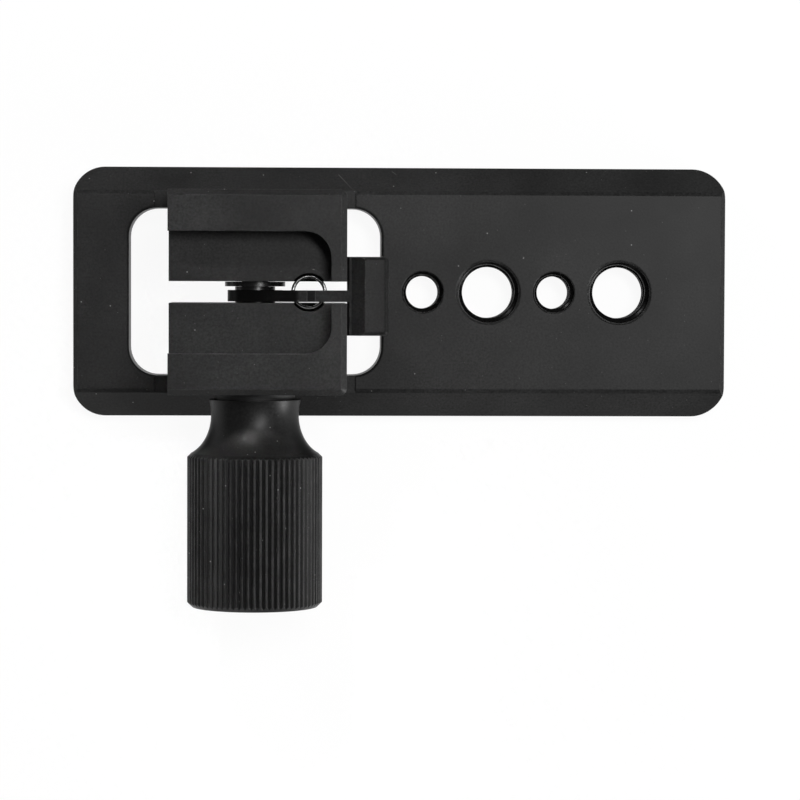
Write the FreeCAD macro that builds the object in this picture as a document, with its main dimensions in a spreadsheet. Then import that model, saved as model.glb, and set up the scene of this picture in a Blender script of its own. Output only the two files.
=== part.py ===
import FreeCAD, Part
import os
import re
import Sketcher

# Lens collar foot with a split clamp block, a knurled clamp knob and a sprung release lever.
# Millimetres. Origin at the middle of the plate's underside, +X towards the tapped holes,
# +Y away from the knob, +Z towards the lens.

SIZES = {
    # Dovetail plate
    "plate_length": 99.3,
    "plate_width": 38.0,
    "plate_thickness": 7.0,
    "plate_corner_radius": 4.7,
    "plate_under_chamfer": 0.4,
    "plate_end_chamfer": 0.7,
    "dovetail_lip": 3.1,
    "dovetail_bevel": 3.65,
    "dovetail_edge_break": 0.6,
    # Window under the clamp block
    "window_length": 38.3,
    "window_width": 25.4,
    "window_center": -22.05,
    "window_corner_radius": 4.3,
    "window_rim_chamfer": 0.3,
    # Tapped holes along the middle of the plate
    "hole_first": 3.4,
    "hole_pitch": 10.0,
    "small_thread": 6.35,
    "large_thread": 9.525,
    "small_rim_break": 0.1,
    "large_rim_break": 0.2,
    # Clamp block, in one piece with the plate
    "block_center": -21.55,
    "block_length": 26.1,
    "block_width": 30.0,
    "block_top": 27.0,
    "block_chamfer": 0.85,
    "block_corner_radius": 1.0,
    "jaw_underside": 6.4,
    "relief_depth": 0.25,
    "relief_open_end": 2.7,
    "relief_closed_end": 1.7,
    "slit_width": 3.2,
    # Undercut channel for the collar's rail, open towards -X
    "channel_width": 17.8,
    "channel_depth": 4.5,
    "channel_taper": 15.0,
    "channel_end_wall": 2.3,
    "channel_corner_radius": 4.0,
    # Clamp screw across the slit
    "screw_x": -22.0,
    "screw_z": 15.0,
    "screw_diameter": 6.0,
    "screw_reach": 10.5,
    "screw_in_knob": 14.0,
    "screw_tip_chamfer": 0.6,
    "shank_clearance": 0.1,
    "thread_clearance": 0.05,
    "thread_end_room": 1.0,
    "knob_bore_clearance": 0.02,
    # Retaining clip in a groove of the screw
    "clip_diameter": 9.0,
    "clip_thickness": 0.7,
    "clip_band": 1.25,
    "clip_lug_width": 1.4,
    "clip_mouth": 3.4,
    "clip_groove_diameter": 4.0,
    "clip_clearance": 0.025,
    "clip_jaw_gap": 0.05,
    # Thrust washer between the block and the knob
    "washer_diameter": 12.0,
    "washer_thickness": 0.96,
    "washer_clearance": 0.1,
    "face_clearance": 0.02,
    # Clamp knob
    "knob_diameter": 20.2,
    "knob_length": 31.0,
    "knob_end_chamfer": 0.7,
    "neck_diameter": 13.1,
    "neck_waist": 2.3,
    "neck_half_length": 6.2,
    "neck_depth": 4.8,
    "shoulder_break": 0.6,
    "knurl_teeth": 70,
    "knurl_depth": 0.35,
    # Release lever on the screw's shank
    "lever_thickness": 1.7,
    "lever_middle": -0.55,
    "lever_boss_radius": 4.1,
    "lever_bore_clearance": 0.1,
    "catch_start": 6.3,
    "catch_length": 1.4,
    "catch_back": 1.2,
    "catch_height": 1.3,
    "catch_nose_radius": 0.5,
    "arm_drop": 0.3,
    "arm_height": 1.5,
    "arm_corner_radius": 1.0,
    "pad_gap": 0.1,
    "pad_length": 6.1,
    "pad_width": 11.6,
    "pad_edge_bevel": 0.35,
    "pad_edge_drop": 0.7,
    "pad_land": 0.3,
    "pad_face_run": 1.95,
    "pad_ridge_rise": 1.0,
    "pad_fall": 0.45,
    "pad_under": 0.7,
    "pad_tip_radius": 0.9,
    "pad_corner_radius": 0.6,
    # Compression spring under the lever's arm
    "spring_diameter": 5.3,
    "spring_wire": 0.55,
    "spring_turns": 2.25,
    "spring_pocket_diameter": 5.7,
    "spring_x": -14.0,
    "spring_length": 4.5,
    "spring_clearance": 0.05,
}

# Room that a cutting profile takes past the face it cuts through
OVERSHOOT = 2.0
# Lugs of the retaining clip, evenly spaced
CLIP_LUGS = 3
# Where the spring's wire starts, in degrees from +X, and the sides of its section
SPRING_SEAT_TURN = 90
WIRE_SIDES = 6
# Degrees all the way round and half way
FULL_TURN = 360
HALF_TURN = 180
# Position tolerance when edges are picked
NEAR = 1e-4

# Places that several pieces share, as formulas of the sizes
BLOCK_START = "(block_center - block_length / 2)"
BLOCK_END = "(block_center + block_length / 2)"
CHANNEL_FLOOR = "(block_top - channel_depth)"
KNOB_FACE = "(block_width / 2 + 2 * face_clearance + washer_thickness)"
CLIP_FACE = "(slit_width / 2 - clip_jaw_gap)"
ARM_TOP = f"({CHANNEL_FLOOR} - arm_drop - screw_z)"
ARM_UNDER = f"({ARM_TOP} - arm_height)"
PAD_START = f"({BLOCK_END} + pad_gap - screw_x)"
SPRING_RADIUS = "(spring_diameter - spring_wire) / 2"
SPRING_SEAT = f"(screw_z + {ARM_UNDER} - spring_clearance - spring_length)"

doc = FreeCAD.newDocument("lens_collar_foot")
sheet = doc.addObject("Spreadsheet::Sheet", "Sizes")
for row, (alias, value) in enumerate(SIZES.items(), start=1):
    sheet.set(f"A{row}", alias)
    sheet.set(f"B{row}", str(value))
    sheet.setAlias(f"B{row}", alias)
doc.recompute()


def formula(text):
    """Write a formula of size names as one that reads the sheet's cells."""
    return re.sub(r"[a-z_]+", lambda word: f"Sizes.{word[0]}" if word[0] in SIZES else word[0], text)


def value_of(text):
    """Work out a formula of size names as the sheet's cells stand."""
    return float(sheet.evalExpression(formula(text)))


def bind(item, target, text):
    """Tie one property of an object to a formula of sizes."""
    item.setExpression(target, formula(text))


def new_body(label):
    """Start a body whose frame is the part's own."""
    body = doc.addObject("PartDesign::Body", label)
    body.Label = label
    return body


def screw_axis_body(label):
    """Start a body whose Z axis runs along the screw, outwards to the knob, from the middle plane."""
    body = new_body(label)
    body.Placement.Rotation = FreeCAD.Rotation(FreeCAD.Vector(1, 0, 0), 90)
    bind(body, "Placement.Base.x", "screw_x")
    bind(body, "Placement.Base.z", "screw_z")
    return body


def new_sketch(body, name, plane="XY_Plane", height="0"):
    """Start a sketch on one of the body's own planes, raised along its normal."""
    sketch = body.newObject("Sketcher::SketchObject", name)
    support = next(item for item in body.Origin.OriginFeatures if item.Role == plane)
    sketch.AttachmentSupport = (support, [""])
    sketch.MapMode = "FlatFace"
    bind(sketch, "AttachmentOffset.Base.z", height)
    return sketch


def fix_point(sketch, geometry, corner, across, up):
    """Hold a point of a sketch at two formulas, measured from the sketch's origin."""
    for kind, text in (("DistanceX", across), ("DistanceY", up)):
        index = sketch.addConstraint(Sketcher.Constraint(kind, -1, 1, geometry, corner, value_of(text)))
        bind(sketch, f"Constraints[{index}]", text)


def add_polygon(sketch, points, closed=True):
    """Draw an outline whose corners are pairs of formulas, and give the number of its first side."""
    count = len(points)
    first = sketch.GeometryCount
    turn = FreeCAD.Rotation(FreeCAD.Vector(0, 0, 1), FULL_TURN / count)
    corners = [FreeCAD.Vector(1, 0, 0)]
    while len(corners) < count:
        corners.append(turn.multVec(corners[-1]))
    sides = count if closed else count - 1
    for start, end in zip(corners, (corners[1:] + corners[:1])[:sides]):
        sketch.addGeometry(Part.LineSegment(start, end))
    for side in range(sides if closed else sides - 1):
        following = first + (side + 1) % count
        sketch.addConstraint(Sketcher.Constraint("Coincident", first + side, 2, following, 1))
    for side, (across, up) in enumerate(points[:sides]):
        fix_point(sketch, first + side, 1, across, up)
    if not closed:
        fix_point(sketch, first + sides - 1, 2, *points[-1])
    return first


def add_rectangle(sketch, left, right, bottom, top):
    """Draw a rectangle between four formulas."""
    add_polygon(sketch, [(left, bottom), (right, bottom), (right, top), (left, top)])


def add_circle(sketch, across, up, radius):
    """Draw a circle whose centre and radius are formulas."""
    index = sketch.addGeometry(Part.Circle(FreeCAD.Vector(0, 0, 0), FreeCAD.Vector(0, 0, 1), 1.0))
    fix_point(sketch, index, 3, across, up)
    size = sketch.addConstraint(Sketcher.Constraint("Radius", index, 1.0))
    bind(sketch, f"Constraints[{size}]", radius)


def close_with_hollow(sketch, first, across, up, half_across, half_up):
    """Close an open outline with a hollow: part of an upright ellipse from its start to its end."""
    last = sketch.GeometryCount - 1
    doc.recompute()
    centre = FreeCAD.Vector(value_of(across), value_of(up), 0)
    top = centre + FreeCAD.Vector(0, value_of(half_up), 0)
    side = centre - FreeCAD.Vector(value_of(half_across), 0, 0)
    ellipse = Part.Ellipse(top, side, centre)
    ends = (sketch.getPoint(first, 1), sketch.getPoint(last, 2))
    arc = sketch.addGeometry(Part.ArcOfEllipse(ellipse, *[ellipse.parameter(end) for end in ends]))
    sketch.exposeInternalGeometry(arc)
    sketch.addConstraint(Sketcher.Constraint("Vertical", arc + 1))
    fix_point(sketch, arc, 3, across, up)
    sketch.addConstraint(Sketcher.Constraint("Coincident", arc, 1, first, 1))
    sketch.addConstraint(Sketcher.Constraint("Coincident", arc, 2, last, 2))


def add_feature(body, kind, name, sketch, length=None, reverse=False, both_ways=False):
    """Pad or pocket a sketch by a formula, and check that the solid grew or shrank by it."""
    doc.recompute()
    before = body.Shape.Volume if body.Tip else 0.0
    feature = body.newObject(f"PartDesign::{kind}", name)
    feature.Profile = sketch
    feature.Reversed = reverse
    if both_ways:
        feature.SideType = "Symmetric"
    if length:
        bind(feature, "Length", length)
    else:
        feature.Type = "ThroughAll"
    doc.recompute()
    growth = feature.Shape.Volume - before
    if (growth > 0) != (kind == "Pad") or abs(growth) < NEAR:
        raise RuntimeError(f"{name} changed the volume of {body.Label} by {growth:.4f}")
    return feature


def dress(body, kind, name, size, wanted):
    """Fillet or chamfer by a formula the edges of the body's tip that a test picks out."""
    base = body.Tip
    edges = [f"Edge{place}" for place, edge in enumerate(base.Shape.Edges, start=1) if wanted(edge)]
    if not edges:
        raise RuntimeError(f"{name} found no edge on {body.Label}")
    feature = body.newObject(f"PartDesign::{kind}", name)
    feature.Base = (base, edges)
    bind(feature, "Radius" if kind == "Fillet" else "Size", size)
    doc.recompute()


def repeat_round(body, name, feature, count):
    """Repeat a feature evenly round the body's Z axis, as often as a formula says."""
    pattern = body.newObject("PartDesign::PolarPattern", name)
    pattern.Originals = [feature]
    axis = next(item for item in body.Origin.OriginFeatures if item.Role == "Z_Axis")
    pattern.Axis = (axis, [""])
    pattern.Angle = FULL_TURN
    bind(pattern, "Occurrences", count)
    body.Tip = pattern
    doc.recompute()


def near(value, target):
    """Say whether two lengths are the same."""
    return abs(value - target) < NEAR


def runs_along(edge, axis):
    """Say whether an edge is straight and runs along an axis of its body."""
    return edge.Curve.TypeId == "Part::GeomLine" and near(abs(getattr(edge.Curve.Direction, axis)), 1.0)


def at_height(edge, height):
    """Say whether an edge lies flat at a height in its body."""
    return near(edge.BoundBox.ZMin, height) and near(edge.BoundBox.ZMax, height)


def is_round(edge, radius):
    """Say whether an edge is a circle of a radius."""
    return edge.Curve.TypeId == "Part::GeomCircle" and near(edge.Curve.Radius, radius)


def add_plate(body):
    """Round-cornered plate with a bevelled dovetail along both long sides."""
    outline = new_sketch(body, "plate_outline")
    add_rectangle(outline, "-plate_length / 2", "plate_length / 2", "-plate_width / 2", "plate_width / 2")
    add_feature(body, "Pad", "plate", outline, "plate_thickness")
    dress(body, "Fillet", "plate_corners", "plate_corner_radius", lambda edge: runs_along(edge, "z"))
    dress(body, "Chamfer", "plate_under_edge", "plate_under_chamfer", lambda edge: at_height(edge, 0))

    dovetail = new_sketch(body, "dovetail_outline", "YZ_Plane")
    clear_top = f"plate_thickness + {OVERSHOOT}"
    for side in ("", "-"):
        edge = f"{side}(plate_width / 2"
        add_polygon(dovetail, [
            (f"{edge})", "dovetail_lip"),
            (f"{edge} - dovetail_bevel)", "dovetail_lip + dovetail_bevel"),
            (f"{edge} - dovetail_bevel - dovetail_edge_break)", "plate_thickness"),
            (f"{edge} - dovetail_bevel - dovetail_edge_break)", clear_top),
            (f"{edge} + {OVERSHOOT})", clear_top),
            (f"{edge} + {OVERSHOOT})", "dovetail_lip"),
        ])
    add_feature(body, "Pocket", "dovetail", dovetail, f"plate_length + {OVERSHOOT}", both_ways=True)

    ends = new_sketch(body, "plate_end_outline", "XZ_Plane")
    for side in ("", "-"):
        add_polygon(ends, [
            (f"{side}(plate_length / 2 - plate_end_chamfer)", "plate_thickness"),
            (f"{side}(plate_length / 2)", "plate_thickness"),
            (f"{side}(plate_length / 2)", "plate_thickness - plate_end_chamfer"),
        ])
    add_feature(body, "Pocket", "plate_end_chamfers", ends, "plate_width", both_ways=True)


def add_window(body):
    """Window through the plate, with round corners and a broken top rim."""
    outline = new_sketch(body, "window_outline")
    add_rectangle(
        outline,
        "window_center - window_length / 2",
        "window_center + window_length / 2",
        "-window_width / 2",
        "window_width / 2",
    )
    add_feature(body, "Pocket", "window", outline, "plate_thickness", reverse=True)
    reach_x = SIZES["window_length"] / 2
    reach_y = SIZES["window_width"] / 2

    def on_window(edge):
        middle = edge.CenterOfMass
        return abs(middle.x - SIZES["window_center"]) < reach_x + NEAR and abs(middle.y) < reach_y + NEAR

    def window_rim(edge):
        return at_height(edge, SIZES["plate_thickness"]) and on_window(edge)

    def window_corner(edge):
        return runs_along(edge, "z") and on_window(edge)

    dress(body, "Fillet", "window_corners", "window_corner_radius", window_corner)
    dress(body, "Chamfer", "window_rim", "window_rim_chamfer", window_rim)


def add_clamp_block(body):
    """Raised block, chamfered on three sides, with shallow reliefs at its foot and a slit through it."""
    outline = new_sketch(body, "block_outline", height="jaw_underside")
    add_rectangle(outline, BLOCK_START, BLOCK_END, "-block_width / 2", "block_width / 2")
    add_feature(body, "Pad", "block", outline, "block_top - jaw_underside")
    top = SIZES["block_top"]
    open_end = SIZES["block_center"] - SIZES["block_length"] / 2

    def closed_corner(edge):
        beyond_middle = edge.CenterOfMass.x > SIZES["block_center"]
        return runs_along(edge, "z") and near(edge.BoundBox.ZMax, top) and beyond_middle

    def chamfered_edge(edge):
        return at_height(edge, top) and edge.CenterOfMass.x > open_end + NEAR

    dress(body, "Fillet", "block_corners", "block_corner_radius", closed_corner)
    dress(body, "Chamfer", "block_top_edge", "block_chamfer", chamfered_edge)

    relief = new_sketch(body, "relief_outline", height="plate_thickness")
    half_width = "plate_width / 2"
    open_side = f"{BLOCK_START} - relief_open_end"
    closed_side = f"{BLOCK_END} + relief_closed_end"
    add_rectangle(relief, open_side, BLOCK_START, f"-{half_width}", half_width)
    add_rectangle(relief, BLOCK_END, closed_side, f"-{half_width}", half_width)
    add_feature(body, "Pocket", "foot_reliefs", relief, "relief_depth")

    slit = new_sketch(body, "slit_outline", height="block_top")
    add_rectangle(
        slit,
        f"{BLOCK_START} - {OVERSHOOT}",
        f"{BLOCK_END} + {OVERSHOOT}",
        "-slit_width / 2",
        "slit_width / 2",
    )
    add_feature(body, "Pocket", "slit", slit, "block_top")


def add_channel(body):
    """Undercut channel for the rail, closed towards +X, and the spring's pocket in its floor."""
    outline = new_sketch(body, "channel_outline", height="block_top")
    add_rectangle(
        outline,
        f"{BLOCK_START} - channel_depth - {OVERSHOOT}",
        f"{BLOCK_END} - channel_end_wall",
        "-channel_width / 2",
        "channel_width / 2",
    )
    channel = add_feature(body, "Pocket", "channel", outline, "channel_depth")
    bind(channel, "TaperAngle", "channel_taper")
    doc.recompute()
    top = SIZES["block_top"]
    floor = top - SIZES["channel_depth"]

    def channel_corner(edge):
        box = edge.BoundBox
        full_depth = near(box.ZMin, floor) and near(box.ZMax, top)
        far_out = abs(edge.CenterOfMass.y) > SIZES["channel_width"] / 2 - NEAR
        return full_depth and far_out and edge.CenterOfMass.x > SIZES["block_center"]

    dress(body, "Fillet", "channel_corners", "channel_corner_radius", channel_corner)

    pocket = new_sketch(body, "spring_pocket_outline", height=CHANNEL_FLOOR)
    add_circle(pocket, "spring_x", "0", "spring_pocket_diameter / 2")
    add_feature(body, "Pocket", "spring_pocket", pocket, f"{CHANNEL_FLOOR} - {SPRING_SEAT}")


def add_screw_bores(body):
    """Clearance bore through the jaw beside the knob, and a blind thread bore in the other jaw."""
    shank = new_sketch(body, "shank_bore_outline", "XZ_Plane")
    add_circle(shank, "screw_x", "screw_z", "screw_diameter / 2 + shank_clearance")
    add_feature(body, "Pocket", "shank_bore", shank, f"block_width / 2 + {OVERSHOOT}", reverse=True)
    thread = new_sketch(body, "thread_bore_outline", "XZ_Plane")
    add_circle(thread, "screw_x", "screw_z", "screw_diameter / 2 + thread_clearance")
    add_feature(body, "Pocket", "thread_bore", thread, "screw_reach + thread_end_room")


def add_tapped_holes(body):
    """Small and large tapped holes in turn along the plate, each with broken rims."""
    for size, places in (("small", (0, 2)), ("large", (1, 3))):
        outline = new_sketch(body, f"{size}_hole_outline")
        for place in places:
            add_circle(outline, f"hole_first + {place} * hole_pitch", "0", f"{size}_thread / 2")
        add_feature(body, "Pocket", f"{size}_holes", outline, "plate_thickness", reverse=True)
        radius = SIZES[f"{size}_thread"] / 2
        dress(body, "Chamfer", f"{size}_rims", f"{size}_rim_break", lambda edge: is_round(edge, radius))


def make_foot_body():
    """Plate, clamp block, channel, slit, bores and tapped holes: one milled solid."""
    body = new_body("foot_body")
    add_plate(body)
    add_window(body)
    add_clamp_block(body)
    add_channel(body)
    add_screw_bores(body)
    add_tapped_holes(body)
    return body


def make_clamp_screw():
    """Steel screw from inside the knob, across the slit, into the far jaw."""
    body = screw_axis_body("clamp_screw")
    radius = SIZES["screw_diameter"] / 2
    outline = new_sketch(body, "screw_outline", height="-screw_reach")
    add_circle(outline, "0", "0", "screw_diameter / 2")
    add_feature(body, "Pad", "screw", outline, f"screw_reach + {KNOB_FACE} + screw_in_knob")
    dress(body, "Chamfer", "screw_ends", "screw_tip_chamfer", lambda edge: is_round(edge, radius))
    ring = new_sketch(body, "clip_groove_outline", height=f"-{CLIP_FACE} - clip_clearance")
    add_circle(ring, "0", "0", "clip_groove_diameter / 2")
    add_circle(ring, "0", "0", f"screw_diameter / 2 + {OVERSHOOT}")
    add_feature(body, "Pocket", "clip_groove", ring, "clip_thickness + 2 * clip_clearance", reverse=True)
    return body


def make_retaining_clip():
    """E-shaped clip: an open ring with lugs that grip the screw's groove."""
    body = screw_axis_body("retaining_clip")
    ring = new_sketch(body, "clip_ring_outline", height=f"-{CLIP_FACE}")
    add_circle(ring, "0", "0", "clip_diameter / 2")
    add_circle(ring, "0", "0", "clip_diameter / 2 - clip_band")
    add_feature(body, "Pad", "clip_ring", ring, "clip_thickness")
    mouth = new_sketch(body, "clip_mouth_outline", height=f"-{CLIP_FACE}")
    add_rectangle(mouth, "-clip_mouth / 2", "clip_mouth / 2", "-clip_diameter", "0")
    add_feature(body, "Pocket", "clip_mouth_cut", mouth, "clip_thickness", reverse=True)
    lug = new_sketch(body, "clip_lug_outline", height=f"-{CLIP_FACE}")
    add_rectangle(
        lug,
        "-clip_lug_width / 2",
        "clip_lug_width / 2",
        "clip_groove_diameter / 2 + clip_clearance",
        "clip_diameter / 2 - clip_band / 2",
    )
    first_lug = add_feature(body, "Pad", "clip_lug", lug, "clip_thickness")
    repeat_round(body, "clip_lugs", first_lug, str(CLIP_LUGS))
    return body


def make_thrust_washer():
    """Plain washer on the shank between the block and the knob."""
    body = screw_axis_body("thrust_washer")
    ring = new_sketch(body, "washer_outline", height="block_width / 2 + face_clearance")
    add_circle(ring, "0", "0", "washer_diameter / 2")
    add_circle(ring, "0", "0", "screw_diameter / 2 + washer_clearance")
    add_feature(body, "Pad", "washer", ring, "washer_thickness")
    return body


def make_clamp_knob():
    """Turned knob with a concave neck, a blind bore for the screw and a straight knurl."""
    body = screw_axis_body("clamp_knob")
    far_face = f"({KNOB_FACE} + knob_length)"
    rim = "(knob_diameter / 2)"
    shoulder = f"({rim} - shoulder_break)"
    hollow = ("(neck_diameter / 2 + neck_depth)", f"({KNOB_FACE} + neck_waist)")
    face_rim = f"({hollow[0]} - neck_depth * sqrt(1 - (neck_waist / neck_half_length) ^ 2))"
    shoulder_rise = f"(neck_half_length * sqrt(1 - (({hollow[0]} - {shoulder}) / neck_depth) ^ 2))"
    profile = new_sketch(body, "knob_outline", "XZ_Plane")
    first = add_polygon(profile, [
        (shoulder, f"{hollow[1]} + {shoulder_rise}"),
        (rim, f"{hollow[1]} + {shoulder_rise} + shoulder_break"),
        (rim, f"{far_face} - knob_end_chamfer"),
        (f"{rim} - knob_end_chamfer", far_face),
        ("0", far_face),
        ("0", KNOB_FACE),
        (face_rim, KNOB_FACE),
    ], closed=False)
    close_with_hollow(profile, first, *hollow, "neck_depth", "neck_half_length")
    knob = body.newObject("PartDesign::Revolution", "knob")
    knob.Profile = profile
    knob.ReferenceAxis = (profile, ["V_Axis"])
    knob.Angle = FULL_TURN
    doc.recompute()

    bore = new_sketch(body, "knob_bore_outline", height=KNOB_FACE)
    add_circle(bore, "0", "0", "screw_diameter / 2 + knob_bore_clearance")
    add_feature(body, "Pocket", "knob_bore", bore, "screw_in_knob", reverse=True)

    notch = new_sketch(body, "knurl_outline")
    opening = f"knob_diameter / 2 + {OVERSHOOT}"
    add_polygon(notch, [
        ("knob_diameter / 2 - knurl_depth", "0"),
        (opening, f"knurl_depth + {OVERSHOOT}"),
        (opening, f"-knurl_depth - {OVERSHOOT}"),
    ])
    first_notch = add_feature(body, "Pocket", "knurl_notch", notch, reverse=True)
    repeat_round(body, "knurl", first_notch, "knurl_teeth")
    return body


def make_release_lever():
    """Flat lever on the screw: boss, ramped catch, arm over the spring and wide thumb pad."""
    body = new_body("release_lever")
    bind(body, "Placement.Base.x", "screw_x")
    bind(body, "Placement.Base.y", "lever_middle")
    bind(body, "Placement.Base.z", "screw_z")
    boss = new_sketch(body, "boss_outline", "XZ_Plane")
    add_circle(boss, "0", "0", "lever_boss_radius")
    add_feature(body, "Pad", "boss", boss, "lever_thickness", both_ways=True)

    catch_top = f"({ARM_TOP} + arm_drop + catch_height)"
    reach = f"sqrt(catch_start ^ 2 + {catch_top} ^ 2)"
    tangent = f"(atan2({catch_top}; catch_start) + acos(lever_boss_radius / {reach}))"
    arm = new_sketch(body, "arm_outline", "XZ_Plane")
    add_polygon(arm, [
        ("0", "0"),
        ("lever_boss_radius", "0"),
        ("lever_boss_radius", ARM_UNDER),
        (f"{PAD_START} + pad_edge_bevel", ARM_UNDER),
        (f"{PAD_START} + pad_edge_bevel", ARM_TOP),
        ("catch_start + catch_length + catch_back", ARM_TOP),
        ("catch_start + catch_length", catch_top),
        ("catch_start", catch_top),
        (f"lever_boss_radius * cos({tangent})", f"lever_boss_radius * sin({tangent})"),
    ])
    add_feature(body, "Pad", "arm", arm, "lever_thickness", both_ways=True)

    pad_end = f"({PAD_START} + pad_length)"
    land_end = f"({PAD_START} + pad_edge_bevel + pad_land)"
    ridge = f"({ARM_TOP} + pad_ridge_rise)"
    pad = new_sketch(body, "pad_outline", "XZ_Plane")
    add_polygon(pad, [
        (PAD_START, f"{ARM_UNDER} - pad_under"),
        (pad_end, ARM_UNDER),
        (pad_end, f"{ridge} - pad_fall"),
        (f"{land_end} + pad_face_run", ridge),
        (land_end, ARM_TOP),
        (f"{PAD_START} + pad_edge_bevel", ARM_TOP),
        (PAD_START, f"{ARM_TOP} - pad_edge_drop"),
    ])
    add_feature(body, "Pad", "thumb_pad", pad, "pad_width", both_ways=True)
    tip = body.Tip.Shape.BoundBox.XMax
    arm_level = body.Tip.Shape.CenterOfGravity.z

    def tip_top(edge):
        return runs_along(edge, "y") and near(edge.BoundBox.XMin, tip) and edge.CenterOfMass.z > arm_level

    def tip_corner(edge):
        return runs_along(edge, "z") and near(edge.BoundBox.XMin, tip)

    def arm_corner(edge):
        at_boss = near(edge.CenterOfMass.x, SIZES["lever_boss_radius"])
        return runs_along(edge, "y") and at_boss and edge.CenterOfMass.z > NEAR

    def catch_nose(edge):
        return runs_along(edge, "y") and near(edge.CenterOfMass.x, SIZES["catch_start"])

    dress(body, "Fillet", "tip_edge", "pad_tip_radius", tip_top)
    dress(body, "Fillet", "tip_corners", "pad_corner_radius", tip_corner)
    dress(body, "Fillet", "arm_inner_corner", "arm_corner_radius", arm_corner)
    dress(body, "Fillet", "catch_nose", "catch_nose_radius", catch_nose)

    bore = new_sketch(body, "lever_bore_outline", "XZ_Plane")
    add_circle(bore, "0", "0", "screw_diameter / 2 + lever_bore_clearance")
    add_feature(body, "Pocket", "lever_bore", bore, f"lever_thickness + {OVERSHOOT}", both_ways=True)
    return body


def make_lever_spring():
    """Compression spring in its pocket: a six-sided wire, which starts over a jaw, not over the slit."""
    quarter = FreeCAD.Rotation(FreeCAD.Vector(0, 0, 1), SPRING_SEAT_TURN)
    path = doc.addObject("Part::Helix", "spring_path")
    path.Placement.Rotation = quarter
    bind(path, "Radius", SPRING_RADIUS)
    bind(path, "Pitch", "(spring_length - spring_wire) / spring_turns")
    bind(path, "Height", "spring_length - spring_wire")
    section = doc.addObject("Part::RegularPolygon", "spring_section")
    section.Polygon = WIRE_SIDES
    section.Placement.Rotation = quarter * FreeCAD.Rotation(FreeCAD.Vector(1, 0, 0), 90)
    bind(section, "Circumradius", f"spring_wire / 2 / cos({HALF_TURN} / {WIRE_SIDES})")
    bind(section, "Placement.Base.y", SPRING_RADIUS)
    for item in (path, section):
        bind(item, "Placement.Base.x", "spring_x")
        bind(item, "Placement.Base.z", f"{SPRING_SEAT} + spring_wire / 2")
    spring = doc.addObject("Part::Sweep", "lever_spring")
    spring.Sections = [section]
    spring.Spine = (path, ["Edge1"])
    spring.Solid = True
    spring.Frenet = True
    return spring


pieces = [
    make_foot_body(),
    make_clamp_screw(),
    make_retaining_clip(),
    make_thrust_washer(),
    make_clamp_knob(),
    make_release_lever(),
    make_lever_spring(),
]
doc.recompute()
failed = [item.Name for item in doc.Objects if {"Invalid", "Error"} & set(item.State)]
if failed:
    raise RuntimeError(f"objects that did not build: {failed}")
for piece in pieces:
    if piece.Shape.isNull() or not piece.Shape.isValid() or len(piece.Shape.Solids) != 1:
        raise RuntimeError(f"{piece.Label} is not one valid solid")

os.makedirs("parts", exist_ok=True)
for piece in pieces:
    piece.Shape.exportStep(f"parts/{piece.Label}.step")
    box = piece.Shape.optimalBoundingBox()
    print(f"{piece.Label}: {piece.Shape.Volume:.1f} mm3, X {box.XMin:.2f} to {box.XMax:.2f}, "
          f"Y {box.YMin:.2f} to {box.YMax:.2f}, Z {box.ZMin:.2f} to {box.ZMax:.2f}")
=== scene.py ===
import logging
import math
from dataclasses import dataclass
from enum import Enum
from typing import ClassVar

import bmesh
import bpy
from mathutils import Matrix, Vector


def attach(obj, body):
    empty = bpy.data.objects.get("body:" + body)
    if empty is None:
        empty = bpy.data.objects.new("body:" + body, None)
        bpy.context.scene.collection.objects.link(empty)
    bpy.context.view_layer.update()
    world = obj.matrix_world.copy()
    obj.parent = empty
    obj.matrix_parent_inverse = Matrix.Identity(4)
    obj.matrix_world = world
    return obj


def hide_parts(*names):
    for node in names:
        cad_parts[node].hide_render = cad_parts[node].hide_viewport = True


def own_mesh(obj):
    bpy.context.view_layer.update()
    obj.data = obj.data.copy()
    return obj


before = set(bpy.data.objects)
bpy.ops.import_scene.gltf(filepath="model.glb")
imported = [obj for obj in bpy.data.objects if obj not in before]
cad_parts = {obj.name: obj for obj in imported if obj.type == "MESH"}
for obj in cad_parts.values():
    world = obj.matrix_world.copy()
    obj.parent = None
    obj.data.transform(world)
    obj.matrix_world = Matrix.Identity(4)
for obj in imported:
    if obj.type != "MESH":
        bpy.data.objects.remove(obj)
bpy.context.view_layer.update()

# Lens collar foot: a dovetail plate with a split clamp block, a knurled clamp knob and a
# sprung release lever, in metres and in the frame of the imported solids.

MILLIMETRE = 0.001
FULL_TURN = 2.0 * math.pi
LOG = logging.getLogger("lens_collar_foot")

Socket = bpy.types.NodeSocket
Feed = Socket | Vector | float | tuple[float, ...]
Span = tuple[float, float]
Point = tuple[float, float, float]

# Ranges that patterns are read in, and the layers of the coarser ones
RISING: Span = (0.0, 1.0)
FALLING: Span = (1.0, 0.0)
CLOUD_RANGE: Span = (0.3, 0.7)
GRAIN_RANGE: Span = (0.25, 0.75)
CLOUD_DETAIL = 3.0
PATCH_DETAIL = 4.0


class Body(Enum):
    """Bodies of the frame that pieces ride on."""

    FOOT = "foot"


class Slot(Enum):
    """Material slots of the record."""

    BODY = "anodised_body"
    SPRING = "spring_steel"


def grey(level: float) -> tuple[float, float, float, float]:
    """Give an opaque grey."""
    return (level, level, level, 1.0)


def swing(middle: float, share: float) -> Span:
    """Give the range that lies a share below and above a middle value."""
    return (middle * (1.0 - share), middle * (1.0 + share))


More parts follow.
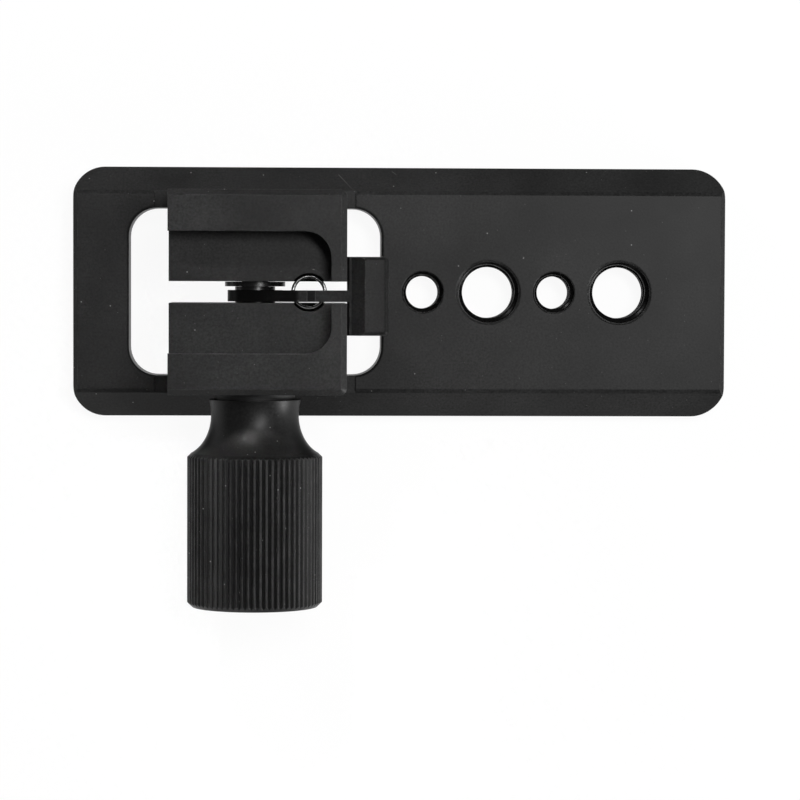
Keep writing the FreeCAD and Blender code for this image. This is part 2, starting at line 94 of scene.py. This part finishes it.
class NodeSheet:
    """One material's node tree, with short calls that add nodes and join them."""

    SPECK_CORE: ClassVar[float] = 0.5
    BEVEL_SAMPLES: ClassVar[int] = 6
    COLOUR_RESULT: ClassVar[int] = 2

    def __init__(self, name: str) -> None:
        """Start an empty material.

        Args:
            name: The material's name.
        """
        self.material = bpy.data.materials.new(name)
        self.material.use_nodes = True
        self.tree = self.material.node_tree
        self.tree.nodes.clear()

    def add(self, kind: str, **settings: object) -> bpy.types.Node:
        """Add one node.

        Args:
            kind: The node's type, without its prefix.
            settings: Properties of the node itself.

        Returns:
            The new node.
        """
        node = self.tree.nodes.new(f"ShaderNode{kind}")
        for label, value in settings.items():
            setattr(node, label, value)
        return node

    def feed(self, socket: Socket, value: Feed) -> None:
        """Join a socket to another one, or set its value.

        Args:
            socket: The input to feed.
            value: An output to join, or a plain value.
        """
        if isinstance(value, bpy.types.NodeSocket):
            self.tree.links.new(value, socket)
        else:
            socket.default_value = value

    def sum_up(self, operation: str, first: Feed, second: Feed) -> Socket:
        """Work out one number from two.

        Args:
            operation: The sum's name.
            first: The first number.
            second: The second number.

        Returns:
            The result's socket.
        """
        node = self.add("Math", operation=operation)
        self.feed(node.inputs[0], first)
        self.feed(node.inputs[1], second)
        return node.outputs[0]

    def vectors(self, operation: str, first: Feed, second: Feed) -> bpy.types.Node:
        """Work on two vectors.

        Args:
            operation: The name of the work.
            first: The first vector.
            second: The second vector.

        Returns:
            The node, with its result in Vector or Value.
        """
        node = self.add("VectorMath", operation=operation)
        self.feed(node.inputs[0], first)
        self.feed(node.inputs[1], second)
        return node

    def spread(self, value: Feed, source: Span, target: Span) -> Socket:
        """Carry a number from one range to another, held at the ends.

        Args:
            value: The number.
            source: The range it comes from.
            target: The range it goes to.

        Returns:
            The result's socket.
        """
        node = self.add("MapRange")
        self.feed(node.inputs["Value"], value)
        for label, number in zip(("From Min", "From Max", "To Min", "To Max"), source + target):
            node.inputs[label].default_value = number
        return node.outputs["Result"]

    def place(self, stretch: Point = (1.0, 1.0, 1.0)) -> Socket:
        """Give the piece's own coordinates, in metres, stretched along its axes.

        Args:
            stretch: How much each axis is multiplied by.

        Returns:
            The coordinates' socket.
        """
        mapping = self.add("Mapping")
        self.feed(mapping.inputs["Vector"], self.add("TexCoord").outputs["Object"])
        mapping.inputs["Scale"].default_value = stretch
        return mapping.outputs["Vector"]

    def noise(self, where: Socket, size: float, detail: float = 2.0) -> Socket:
        """Make a cloudy pattern.

        Args:
            where: The coordinates it lies on.
            size: The size of its largest clouds, in metres.
            detail: How many finer layers it has.

        Returns:
            The pattern's socket, from 0 to 1.
        """
        node = self.add("TexNoise")
        self.feed(node.inputs["Vector"], where)
        node.inputs["Scale"].default_value = 1.0 / size
        node.inputs["Detail"].default_value = detail
        return node.outputs["Fac"]

    def specks(self, where: Socket, spacing: float, radius: float, share: float) -> Socket:
        """Scatter small round specks.

        Args:
            where: The coordinates they lie on.
            spacing: The mean distance between places for a speck, in metres.
            radius: The radius of a speck, in metres.
            share: The share of places that hold a speck.

        Returns:
            The mask's socket, 1 on a speck.
        """
        node = self.add("TexVoronoi")
        self.feed(node.inputs["Vector"], where)
        node.inputs["Scale"].default_value = 1.0 / spacing
        reach = radius / spacing
        dot = self.spread(node.outputs["Distance"], (reach * self.SPECK_CORE, reach), FALLING)
        chosen = self.add("SeparateColor")
        self.feed(chosen.inputs["Color"], node.outputs["Color"])
        return self.sum_up("MULTIPLY", dot, self.sum_up("LESS_THAN", chosen.outputs["Red"], share))

    def shade(self, level: Socket) -> Socket:
        """Make a grey from one number.

        Args:
            level: How light the grey is.

        Returns:
            The colour's socket.
        """
        node = self.add("CombineColor")
        for channel in ("Red", "Green", "Blue"):
            self.feed(node.inputs[channel], level)
        return node.outputs["Color"]

    def mix(self, mask: Feed, first: Feed, second: Feed) -> Socket:
        """Blend two colours.

        Args:
            mask: How much of the second colour shows.
            first: The colour where the mask is 0.
            second: The colour where the mask is 1.

        Returns:
            The blended colour's socket.
        """
        node = self.add("Mix", data_type="RGBA")
        self.feed(node.inputs["Factor"], mask)
        self.feed(node.inputs["A"], first)
        self.feed(node.inputs["B"], second)
        return node.outputs[self.COLOUR_RESULT]

    def rounded(self, radius: float) -> Socket:
        """Give the normal of the piece with its edges broken.

        Args:
            radius: How far the rounding reaches from an edge, in metres.

        Returns:
            The normal's socket.
        """
        node = self.add("Bevel", samples=self.BEVEL_SAMPLES)
        node.inputs["Radius"].default_value = radius
        return node.outputs["Normal"]

    def edges(self, rounded: Socket, agreement: Span) -> Socket:
        """Find the outer and inner edges of the piece.

        Args:
            rounded: The normal with broken edges.
            agreement: How far it agrees with the true normal where an edge starts and is full.

        Returns:
            The mask's socket, 1 on an edge.
        """
        true_normal = self.add("NewGeometry").outputs["Normal"]
        both = self.vectors("DOT_PRODUCT", rounded, true_normal)
        return self.spread(both.outputs["Value"], agreement, RISING)

    def bump(self, height: Socket, depth: float, strength: float, normal: Socket | None = None) -> Socket:
        """Turn a pattern into small hills.

        Args:
            height: The pattern.
            depth: The height of a full step, in metres.
            strength: How much of it shows, from 0 to 1.
            normal: The normal that the hills stand on, where it isn't the piece's own.

        Returns:
            The normal's socket.
        """
        node = self.add("Bump")
        if normal:
            self.feed(node.inputs["Normal"], normal)
        self.feed(node.inputs["Height"], height)
        node.inputs["Distance"].default_value = depth
        node.inputs["Strength"].default_value = strength
        return node.outputs["Normal"]

    def close(self, shader: bpy.types.Node) -> bpy.types.Material:
        """Join the shader to the material's output.

        Args:
            shader: The last shader node.

        Returns:
            The finished material.
        """
        output = self.add("OutputMaterial")
        self.feed(output.inputs["Surface"], shader.outputs[0])
        return self.material


@dataclass(frozen=True)
class Scratch:
    """A thin straight scratch, given by its ends in metres."""

    start: Point
    end: Point
    width: float = 0.07 * MILLIMETRE
    core_share: float = 0.3
    tone: float = 0.07

    def mask(self, sheet: NodeSheet) -> Socket:
        """Draw the scratch as a mask.

        Args:
            sheet: The material's nodes.

        Returns:
            The mask's socket, 1 on the scratch.
        """
        start = Vector(self.start)
        run = Vector(self.end) - start
        offset = sheet.vectors("SUBTRACT", sheet.place(), start).outputs["Vector"]
        along = sheet.vectors("DOT_PRODUCT", offset, run / run.length_squared).outputs["Value"]
        nearest = sheet.add("VectorMath", operation="SCALE")
        sheet.feed(nearest.inputs[0], run)
        sheet.feed(nearest.inputs["Scale"], sheet.spread(along, RISING, RISING))
        gap = sheet.vectors("DISTANCE", offset, nearest.outputs["Vector"]).outputs["Value"]
        return sheet.spread(gap, (self.width * self.core_share, self.width), FALLING)


@dataclass(frozen=True)
class PlainEdgeZone:
    """A box, given by two corners in metres, whose edges get neither rubbing nor painted edge highlight.
    """

    low: Point
    high: Point

    def mask(self, sheet: NodeSheet) -> Socket:
        """Show where edges may be rubbed and get painted highlight.

        Args:
            sheet: The material's nodes.

        Returns:
            A socket that is 1 outside the box and 0 inside it.
        """
        middle = (Vector(self.low) + Vector(self.high)) / 2.0
        half = (Vector(self.high) - Vector(self.low)) / 2.0
        offset = sheet.vectors("SUBTRACT", sheet.place(), middle).outputs["Vector"]
        reach = sheet.add("VectorMath", operation="ABSOLUTE")
        sheet.feed(reach.inputs[0], offset)
        beyond = sheet.vectors("SUBTRACT", reach.outputs["Vector"], half).outputs["Vector"]
        parts = sheet.add("SeparateXYZ")
        sheet.feed(parts.inputs["Vector"], beyond)
        farthest = sheet.sum_up("MAXIMUM", parts.outputs["X"], parts.outputs["Y"])
        farthest = sheet.sum_up("MAXIMUM", farthest, parts.outputs["Z"])
        return sheet.sum_up("GREATER_THAN", farthest, 0.0)


@dataclass(frozen=True)
class PivotSlitShade:
    """Painted shade on the lever, in a band across its pivot, deep in the slit where shade falls."""

    middle: float = -20.3 * MILLIMETRE
    half_length: float = 4.5 * MILLIMETRE
    edge: float = 0.3 * MILLIMETRE
    tone: float = 0.003

    def mask(self, sheet: NodeSheet) -> Socket:
        """Show where the painted shade lies.

        Args:
            sheet: The material's nodes.

        Returns:
            A socket that is 1 in the painted shade and 0 outside it.
        """
        along = sheet.place((1.0, 0.0, 0.0))
        reach = sheet.vectors("DISTANCE", along, (self.middle, 0.0, 0.0)).outputs["Value"]
        ends = (self.half_length - self.edge, self.half_length + self.edge)
        return sheet.spread(reach, ends, FALLING)


@dataclass(frozen=True)
class KnurlGrooveShade:
    """Painted shade in the grooves of the knurl, round the screw's axis: the grooves are coloured darker
    where shade falls.
    """

    axis_x: float = -22.0 * MILLIMETRE
    axis_z: float = 15.0 * MILLIMETRE
    groove_radius: float = 9.75 * MILLIMETRE
    unshaded_radius: float = 10.06 * MILLIMETRE
    room: float = 0.05 * MILLIMETRE
    tone: float = 0.002

    def mask(self, sheet: NodeSheet) -> Socket:
        """Show where the painted shade lies.

        Args:
            sheet: The material's nodes.

        Returns:
            A socket that is 1 at the bottom of a groove and 0 on a crest and on the neck.
        """
        across = sheet.place((1.0, 0.0, 1.0))
        radius = sheet.vectors("DISTANCE", across, (self.axis_x, 0.0, self.axis_z)).outputs["Value"]
        deep = sheet.spread(radius, (self.groove_radius, self.unshaded_radius), FALLING)
        knurled = sheet.sum_up("GREATER_THAN", radius, self.groove_radius - self.room)
        return sheet.sum_up("MULTIPLY", deep, knurled)


@dataclass(frozen=True)
class AnodisedFinish:
    """Fine-blasted aluminium, dyed black: faint mottle, fine grain, edges lightened as rubbed wear and
    painted highlight, lint and dust, and optional painted shade.
    """

    name: str
    tone: float = 0.011
    roughness: float = 0.42
    roughness_room: float = 0.05
    specular: float = 0.1
    cloud_size: float = 14.0 * MILLIMETRE
    mottle: float = 0.38
    grain_size: float = 0.32 * MILLIMETRE
    grain_share: float = 0.5
    grain_depth: float = 0.01 * MILLIMETRE
    grain_strength: float = 0.6
    rubbed_edge_and_highlight_tone: float = 0.06
    edge_reach: float = 0.2 * MILLIMETRE
    edge_agreement: Span = (0.99, 0.88)
    patch_size: float = 2.5 * MILLIMETRE
    patch_range: Span = (0.42, 0.66)
    patch_share: Span = (0.15, 1.0)
    lint_share: float = 0.1
    lint_spacing: float = 0.7 * MILLIMETRE
    lint_radius: float = 0.07 * MILLIMETRE
    lint_tone: float = 0.09
    dust_share: float = 0.05
    dust_spacing: float = 1.1 * MILLIMETRE
    dust_radius: float = 0.12 * MILLIMETRE
    dust_tone: float = 0.2
    scratches: tuple[Scratch, ...] = ()
    painted_shade: PivotSlitShade | KnurlGrooveShade | None = None
    plain_edges: PlainEdgeZone | None = None

    def dyed(self, sheet: NodeSheet, where: Socket, grain: Socket) -> Socket:
        """Give the colour of the dyed skin.

        Args:
            sheet: The material's nodes.
            where: The piece's coordinates.
            grain: The pattern of the blasted grain.

        Returns:
            The colour's socket.
        """
        cloud = sheet.noise(where, self.cloud_size, CLOUD_DETAIL)
        level = sheet.spread(cloud, CLOUD_RANGE, swing(self.tone, self.mottle))
        fine = sheet.spread(grain, GRAIN_RANGE, swing(1.0, self.grain_share))
        return sheet.shade(sheet.sum_up("MULTIPLY", level, fine))

    def rubbed_and_highlit_edges(self, sheet: NodeSheet, where: Socket, rounded: Socket) -> Socket:
        """Show where the edges are lightened, as rubbed wear and as painted edge highlight.

        Args:
            sheet: The material's nodes.
            where: The piece's coordinates.
            rounded: The normal with broken edges.

        Returns:
            The mask's socket, 1 on a rubbed, highlit edge.
        """
        patches = sheet.noise(where, self.patch_size, PATCH_DETAIL)
        patchy = sheet.spread(patches, self.patch_range, self.patch_share)
        mask = sheet.sum_up("MULTIPLY", sheet.edges(rounded, self.edge_agreement), patchy)
        if self.plain_edges:
            mask = sheet.sum_up("MULTIPLY", mask, self.plain_edges.mask(sheet))
        return mask

    def material(self) -> bpy.types.Material:
        """Make the finish as a node material.

        Returns:
            The material.
        """
        sheet = NodeSheet(self.name)
        where = sheet.place()
        grain = sheet.noise(where, self.grain_size)
        rounded = sheet.rounded(self.edge_reach)
        colour = self.dyed(sheet, where, grain)
        # Lighter edges: rubbed wear and painted edge highlight
        colour = sheet.mix(self.rubbed_and_highlit_edges(sheet, where, rounded), colour, grey(self.rubbed_edge_and_highlight_tone))
        # Painted shade: a darker colour in the knurl's grooves or across the lever's pivot, where shade
        # falls
        if self.painted_shade:
            colour = sheet.mix(self.painted_shade.mask(sheet), colour, grey(self.painted_shade.tone))
        lint = sheet.specks(where, self.lint_spacing, self.lint_radius, self.lint_share)
        colour = sheet.mix(lint, colour, grey(self.lint_tone))
        dust = sheet.specks(where, self.dust_spacing, self.dust_radius, self.dust_share)
        colour = sheet.mix(dust, colour, grey(self.dust_tone))
        for scratch in self.scratches:
            colour = sheet.mix(scratch.mask(sheet), colour, grey(scratch.tone))
        shader = sheet.add("BsdfPrincipled")
        sheet.feed(shader.inputs["Base Color"], colour)
        gloss = (self.roughness - self.roughness_room, self.roughness + self.roughness_room)
        sheet.feed(shader.inputs["Roughness"], sheet.spread(grain, GRAIN_RANGE, gloss))
        shader.inputs["Specular IOR Level"].default_value = self.specular
        hills = sheet.bump(grain, self.grain_depth, self.grain_strength, rounded)
        sheet.feed(shader.inputs["Normal"], hills)
        return sheet.close(shader)


@dataclass(frozen=True)
class SteelFinish:
    """Steel with drawn or turned lines along one axis."""

    name: str
    tone: float
    roughness: float
    metallic: float
    dark_share: float = 0.75
    light_share: float = 1.2
    roughness_share: float = 0.2
    cloud_size: float = 1.5 * MILLIMETRE
    line_stretch: Point = (1.0, 1.0, 1.0)
    line_size: float = 0.2 * MILLIMETRE
    line_depth: float = 0.006 * MILLIMETRE
    line_strength: float = 0.5

    def material(self) -> bpy.types.Material:
        """Make the finish as a node material.

        Returns:
            The material.
        """
        sheet = NodeSheet(self.name)
        lines = sheet.noise(sheet.place(self.line_stretch), self.line_size, CLOUD_DETAIL)
        cloud = sheet.noise(sheet.place(), self.cloud_size, CLOUD_DETAIL)
        tones = (self.tone * self.dark_share, self.tone * self.light_share)
        shader = sheet.add("BsdfPrincipled")
        sheet.feed(shader.inputs["Base Color"], sheet.shade(sheet.spread(cloud, CLOUD_RANGE, tones)))
        shader.inputs["Metallic"].default_value = self.metallic
        gloss = swing(self.roughness, self.roughness_share)
        sheet.feed(shader.inputs["Roughness"], sheet.spread(lines, GRAIN_RANGE, gloss))
        sheet.feed(shader.inputs["Normal"], sheet.bump(lines, self.line_depth, self.line_strength))
        return sheet.close(shader)


@dataclass(frozen=True)
class NylonFinish:
    """Matte black nylon with a faint moulded grain."""

    name: str
    tone: float = 0.012
    tone_share: float = 0.2
    roughness: float = 0.6
    grain_size: float = 0.35 * MILLIMETRE
    grain_depth: float = 0.01 * MILLIMETRE
    grain_strength: float = 0.5

    def material(self) -> bpy.types.Material:
        """Make the finish as a node material.

        Returns:
            The material.
        """
        sheet = NodeSheet(self.name)
        grain = sheet.noise(sheet.place(), self.grain_size, CLOUD_DETAIL)
        level = sheet.spread(grain, CLOUD_RANGE, swing(self.tone, self.tone_share))
        shader = sheet.add("BsdfPrincipled")
        sheet.feed(shader.inputs["Base Color"], sheet.shade(level))
        shader.inputs["Roughness"].default_value = self.roughness
        sheet.feed(shader.inputs["Normal"], sheet.bump(grain, self.grain_depth, self.grain_strength))
        return sheet.close(shader)


def dress_node(name: str, material: bpy.types.Material) -> bpy.types.Object:
    """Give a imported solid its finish.

    Args:
        name: The solid's node.
        material: Its new material.

    Returns:
        The node's object.
    """
    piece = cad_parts[name]
    piece.data.materials.clear()
    piece.data.materials.append(material)
    LOG.info("%s: dressed in %s", name, material.name)
    return piece


def new_piece(name: str, shape: bmesh.types.BMesh, material: bpy.types.Material) -> bpy.types.Object:
    """Turn a mesh into an object of the scene.

    Args:
        name: The piece's name.
        shape: Its mesh, which is used up.
        material: Its material.

    Returns:
        The new object.
    """
    bmesh.ops.recalc_face_normals(shape, faces=shape.faces)
    for face in shape.faces:
        face.smooth = True
    mesh = bpy.data.meshes.new(name)
    shape.to_mesh(mesh)
    shape.free()
    mesh.materials.append(material)
    piece = bpy.data.objects.new(name, mesh)
    bpy.context.scene.collection.objects.link(piece)
    LOG.info("%s: %d faces", name, len(mesh.polygons))
    return piece


@dataclass
class TappedHole:
    """Thread inside one of the plate's holes: a closed sleeve with helical ridges."""

    name: str
    middle: float
    radius: float
    pitch: float
    plate: float = 7.0 * MILLIMETRE
    rim: float = 0.25 * MILLIMETRE
    wall_room: float = 0.01 * MILLIMETRE
    wall_bite: float = 0.06 * MILLIMETRE
    depth_share: float = 0.54
    crest_share: float = 0.25
    steps: int = 96
    rows_per_pitch: int = 10

    def inner_radius(self, height: float, turn: float) -> float:
        """Give the radius of the threaded wall at one point.

        Args:
            height: The height in the plate.
            turn: The place round the hole, from 0 to 1.

        Returns:
            The radius, in metres.
        """
        phase = (height / self.pitch - turn) % 1.0
        flank = (1.0 - 2.0 * abs(phase - 0.5)) / (1.0 - self.crest_share)
        room = min(height - self.rim, self.plate - self.rim - height)
        fade = min(1.0, room / self.pitch)
        return self.radius - self.wall_room - self.depth_share * self.pitch * min(1.0, flank) * fade

    def ring(
        self,
        shape: bmesh.types.BMesh,
        height: float,
        wall: float | None = None,
    ) -> list[bmesh.types.BMVert]:
        """Add a ring of points round the hole.

        Args:
            shape: The mesh.
            height: The ring's height in the plate.
            wall: A fixed radius, where the ring isn't threaded.

        Returns:
            The ring's points.
        """
        points = []
        for step in range(self.steps):
            turn = step / self.steps
            radius = self.inner_radius(height, turn) if wall is None else wall
            angle = FULL_TURN * turn
            place = (self.middle + radius * math.cos(angle), radius * math.sin(angle), height)
            points.append(shape.verts.new(place))
        return points

    def build(self, material: bpy.types.Material) -> bpy.types.Object:
        """Make the sleeve.

        Args:
            material: The finish of the cut thread.

        Returns:
            The new piece.
        """
        shape = bmesh.new()
        low = self.rim
        high = self.plate - self.rim
        rows = round((high - low) / self.pitch * self.rows_per_pitch)
        outer = self.radius + self.wall_bite
        rings = [self.ring(shape, low, outer)]
        for row in range(rows + 1):
            rings.append(self.ring(shape, low + (high - low) * row / rows))
        rings.append(self.ring(shape, high, outer))
        for first, second in zip(rings, rings[1:] + rings[:1]):
            for step in range(self.steps):
                after = (step + 1) % self.steps
                shape.faces.new((first[step], first[after], second[after], second[step]))
        piece = new_piece(self.name, shape, material)
        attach(piece, Body.FOOT.value)
        return piece


@dataclass
class FootBody:
    """Milled plate and clamp block, with the threads of its tapped holes."""

    finish: AnodisedFinish
    thread_finish: AnodisedFinish
    first_hole: float = 3.4 * MILLIMETRE
    hole_pitch: float = 10.0 * MILLIMETRE
    small_radius: float = 3.175 * MILLIMETRE
    large_radius: float = 4.7625 * MILLIMETRE
    small_pitch: float = 1.27 * MILLIMETRE
    large_pitch: float = 1.5875 * MILLIMETRE
    hole_count: int = 4

    def build(self) -> None:
        """Dress the milled body and thread its holes, small and large in turn."""
        dress_node("foot_body", self.finish.material())
        cut = self.thread_finish.material()
        for place in range(self.hole_count):
            small = place % 2 == 0
            hole = TappedHole(
                name=f"thread_{place + 1}",
                middle=self.first_hole + place * self.hole_pitch,
                radius=self.small_radius if small else self.large_radius,
                pitch=self.small_pitch if small else self.large_pitch,
            )
            hole.build(cut)


@dataclass
class ClampKnob:
    """Side knob with its screw, clip and washer."""

    knob_finish: AnodisedFinish
    screw_finish: SteelFinish
    clip_finish: SteelFinish
    washer_finish: NylonFinish

    def build(self) -> None:
        """Dress the knob and what moves with it."""
        dress_node("clamp_knob", self.knob_finish.material())
        dress_node("clamp_screw", self.screw_finish.material())
        dress_node("retaining_clip", self.clip_finish.material())
        dress_node("thrust_washer", self.washer_finish.material())


@dataclass
class ReleaseLever:
    """Sprung lever in the slit, with its spring."""

    finish: AnodisedFinish
    spring_finish: SteelFinish
    spring_middle: float = -14.0 * MILLIMETRE
    spring_seat: float = 16.15 * MILLIMETRE
    spring_length: float = 4.5 * MILLIMETRE
    spring_radius: float = 2.375 * MILLIMETRE
    wire_radius: float = 0.275 * MILLIMETRE
    ground_share: float = 0.9
    turns: float = 4.25
    closed_turns: float = 1.0
    steps_per_turn: int = 48
    wire_sides: int = 14
    seat_angle: float = math.pi / 2.0
    pressed_share: float = 0.46

    def build(self) -> None:
        """Dress the lever and wind its spring."""
        dress_node("release_lever", self.finish.material())
        self.wind_spring(self.spring_finish.material())

    def wire_height(self, turn: float) -> float:
        """Give the height of the wire's middle: flat end turns, even turns between them.

        Args:
            turn: How many turns the wire has made.

        Returns:
            The height above the seat, in metres.
        """
        flat = self.wire_radius * self.ground_share
        end_rise = 2.0 * self.wire_radius
        open_turns = self.turns - 2.0 * self.closed_turns
        open_rise = self.spring_length - 2.0 * flat - 2.0 * end_rise
        if turn < self.closed_turns:
            return flat + end_rise * turn / self.closed_turns
        if turn > self.turns - self.closed_turns:
            return self.spring_length - flat - end_rise * (self.turns - turn) / self.closed_turns
        return flat + end_rise + open_rise * (turn - self.closed_turns) / open_turns

    def wire_ring(self, shape: bmesh.types.BMesh, turn: float) -> list[bmesh.types.BMVert]:
        """Add a ring of points round the wire.

        Args:
            shape: The mesh.
            turn: How many turns the wire has made.

        Returns:
            The ring's points.
        """
        angle = self.seat_angle + FULL_TURN * turn
        middle = self.wire_height(turn)
        points = []
        for side in range(self.wire_sides):
            around = FULL_TURN * side / self.wire_sides
            reach = self.spring_radius + self.wire_radius * math.cos(around)
            height = middle + self.wire_radius * math.sin(around)
            height = max(0.0, min(self.spring_length, height))
            x = self.spring_middle + reach * math.cos(angle)
            points.append(shape.verts.new((x, reach * math.sin(angle), self.spring_seat + height)))
        return points

    def wind_spring(self, material: bpy.types.Material) -> bpy.types.Object:
        """Wind round wire into a compression spring with ground ends.

        Args:
            material: The wire's finish.

        Returns:
            The new piece.
        """
        shape = bmesh.new()
        count = int(self.turns * self.steps_per_turn)
        rings = [self.wire_ring(shape, step / self.steps_per_turn) for step in range(count + 1)]
        for ring, after in zip(rings, rings[1:]):
            for side in range(self.wire_sides):
                beside = (side + 1) % self.wire_sides
                shape.faces.new((ring[side], ring[beside], after[beside], after[side]))
        shape.faces.new(rings[0])
        shape.faces.new(rings[-1])
        piece = new_piece("lever_spring_coil", shape, material)
        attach(piece, Body.FOOT.value)
        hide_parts("lever_spring")
        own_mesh(piece)
        return piece


@dataclass(frozen=True)
class Softbox:
    """One soft rectangular lamp."""

    name: str
    place: Point
    width: float
    height: float
    power: float
    aim: Point = (0.0, 0.0, 0.01)
    spread: float = 180.0

    def build(self) -> bpy.types.Object:
        """Hang the lamp and turn it to its aim.

        Returns:
            The lamp's object.
        """
        lamp = bpy.data.lights.new(self.name, "AREA")
        lamp.shape = "RECTANGLE"
        lamp.size = self.width
        lamp.size_y = self.height
        lamp.spread = math.radians(self.spread)
        lamp.energy = self.power
        holder = bpy.data.objects.new(self.name, lamp)
        holder.location = self.place
        toward = Vector(self.aim) - Vector(self.place)
        holder.rotation_euler = toward.to_track_quat("-Z", "Y").to_euler()
        bpy.context.scene.collection.objects.link(holder)
        return holder


@dataclass
class Studio:
    """White floor, soft lamps and the camera above the foot."""

    camera_place: Point = (-0.01779, 0.00207, 0.4722)
    camera_aim: Point = (0.0, -0.0164, 0.007)
    camera_top: Point = (0.0, 1.0, 0.0)
    camera_roll: float = 0.2
    lens: float = 137.64
    floor_half: float = 3.0
    floor_drop: float = 0.02 * MILLIMETRE
    floor_glow: float = 0.93
    paper_tone: float = 0.85
    sky: float = 0.18
    lamps: tuple[Softbox, ...] = (
        Softbox("lamp_key", place=(0.20, 0.17, 0.85), width=0.46, height=0.16, power=6.8),
        Softbox("lamp_right", place=(0.58, -0.30, 0.10), width=0.30, height=0.16, power=4.3),
        Softbox("lamp_front", place=(-0.16, -0.60, 0.08), width=0.06, height=0.04, power=0.55),
        Softbox("lamp_back", place=(-0.36, 0.34, 0.20), width=0.08, height=0.08, power=0.8),
        Softbox(
            "lamp_spot",
            place=(-0.16, 0.44, 0.44),
            width=0.06,
            height=0.06,
            power=0.0080,
            aim=(-0.0225, -0.024, 0.02),
            spread=5.0,
        ),
    )

    def build(self) -> None:
        """Set the stage."""
        self.lay_floor()
        self.light_sky()
        self.hang_camera()
        for lamp in self.lamps:
            lamp.build()
        view = bpy.context.scene.view_settings
        view.view_transform = "Standard"

    def lay_floor(self) -> bpy.types.Object:
        """Lay a white floor that keeps the part's shadow.

        Returns:
            The floor.
        """
        sheet = NodeSheet("floor_white")
        path = sheet.add("LightPath")
        seen = sheet.sum_up("MAXIMUM", path.outputs["Is Camera Ray"], path.outputs["Is Glossy Ray"])
        seen = sheet.sum_up("MAXIMUM", seen, path.outputs["Is Transmission Ray"])
        paper = sheet.add("BsdfDiffuse")
        paper.inputs["Color"].default_value = grey(self.paper_tone)
        glow = sheet.add("Emission")
        glow.inputs["Color"].default_value = grey(1.0)
        blend = sheet.add("MixShader")
        sheet.feed(blend.inputs[0], sheet.sum_up("MULTIPLY", seen, self.floor_glow))
        sheet.feed(blend.inputs[1], paper.outputs[0])
        sheet.feed(blend.inputs[2], glow.outputs[0])
        shape = bmesh.new()
        bmesh.ops.create_grid(
            shape,
            x_segments=1,
            y_segments=1,
            size=self.floor_half,
            matrix=Matrix.Translation((0.0, 0.0, -self.floor_drop)),
        )
        floor = new_piece("floor", shape, sheet.close(blend))
        return floor

    def light_sky(self) -> None:
        """Fill the surroundings with a plain soft light."""
        world = bpy.data.worlds.new("soft_sky")
        world.use_nodes = True
        background = world.node_tree.nodes["Background"]
        background.inputs["Color"].default_value = grey(1.0)
        background.inputs["Strength"].default_value = self.sky
        bpy.context.scene.world = world

    def hang_camera(self) -> bpy.types.Object:
        """Hang the camera almost straight above the foot.

        Returns:
            The camera.
        """
        camera = bpy.data.cameras.new("camera")
        camera.lens = self.lens
        holder = bpy.data.objects.new("camera", camera)
        back = (Vector(self.camera_place) - Vector(self.camera_aim)).normalized()
        right = Vector(self.camera_top).cross(back).normalized()
        up = back.cross(right)
        turn = Matrix((right, up, back)).transposed().to_4x4()
        roll = Matrix.Rotation(math.radians(self.camera_roll), 4, "Z")
        holder.matrix_world = Matrix.Translation(self.camera_place) @ turn @ roll
        bpy.context.scene.collection.objects.link(holder)
        bpy.context.scene.camera = holder
        return holder


def main() -> None:
    """Build the stage and each sub-assembly in order."""
    logging.basicConfig(level=logging.INFO, format="%(message)s")
    Studio().build()
    marks = (
        Scratch(start=(-0.0094, 0.0179, 0.0042), end=(-0.0068, 0.0150, 0.0070)),
        Scratch(start=(-0.0012, 0.0184, 0.0037), end=(-0.0006, 0.01796, 0.0041)),
    )
    recess = PlainEdgeZone(low=(-0.042, -0.015, -0.001), high=(-0.002, 0.015, 0.0071))
    FootBody(
        finish=AnodisedFinish("anodised_body", scratches=marks, plain_edges=recess),
        thread_finish=AnodisedFinish(
            "anodised_thread",
            # A darker tone than the body: painted shade inside the tapped holes
            tone=0.002,
            roughness=0.28,
            specular=0.12,
            dust_share=0.0,
        ),
    ).build()
    ClampKnob(
        knob_finish=AnodisedFinish(
            "anodised_knob",
            tone=0.007,
            roughness=0.4,
            specular=0.15,
            # Lighter edges are rubbed wear and painted highlight on the teeth; the grooves carry painted
            # shade
            rubbed_edge_and_highlight_tone=0.07,
            dust_share=0.2,
            painted_shade=KnurlGrooveShade(),
        ),
        screw_finish=SteelFinish(
            "screw_steel",
            tone=0.006,
            roughness=0.3,
            metallic=0.3,
            line_stretch=(1.0, 12.0, 1.0),
        ),
        clip_finish=SteelFinish("clip_steel", tone=0.012, roughness=0.3, metallic=0.5),
        washer_finish=NylonFinish("washer_nylon"),
    ).build()
    ReleaseLever(
        finish=AnodisedFinish(
            "anodised_lever",
            specular=0.055,
            # Lighter edges are rubbed wear and painted highlight along the pad's ridge; the band across
            # the pivot is painted shade
            rubbed_edge_and_highlight_tone=0.14,
            dust_share=0.02,
            painted_shade=PivotSlitShade(),
        ),
        spring_finish=SteelFinish("spring_steel", tone=0.3, roughness=0.2, metallic=1.0),
    ).build()


if __name__ == "__main__":
    main()
